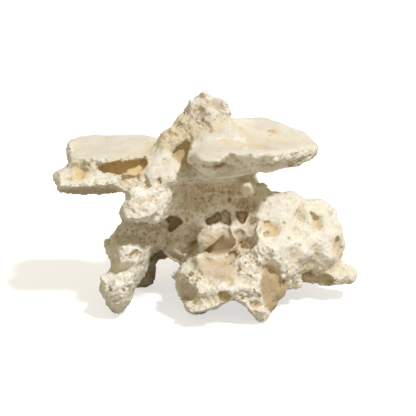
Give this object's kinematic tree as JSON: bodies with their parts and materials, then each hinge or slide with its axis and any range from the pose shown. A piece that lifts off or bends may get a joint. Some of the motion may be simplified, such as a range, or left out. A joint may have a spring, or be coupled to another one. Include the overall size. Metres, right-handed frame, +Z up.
{
  "type": "dry reef rock",
  "caption": "Porous limestone reef rock that stands on its own feet, with a thin shelf, an overhanging plate, a peak and an arch, for a reef tank base.",
  "frame": {"origin": "on the ground, under the centre of the rock's own box seen from above", "axes": "+X from the thin shelf to the long overhanging plate, +Y from the front with the hollows to the back, +Z up from the ground it stands on"},
  "size_m": [0.3044, 0.1786, 0.2168],
  "materials": {
    "dry_stone": "matte"
  },
  "bodies": {
    "root": {"reef_rock": "dry_stone"}
  },
  "joints": []
}
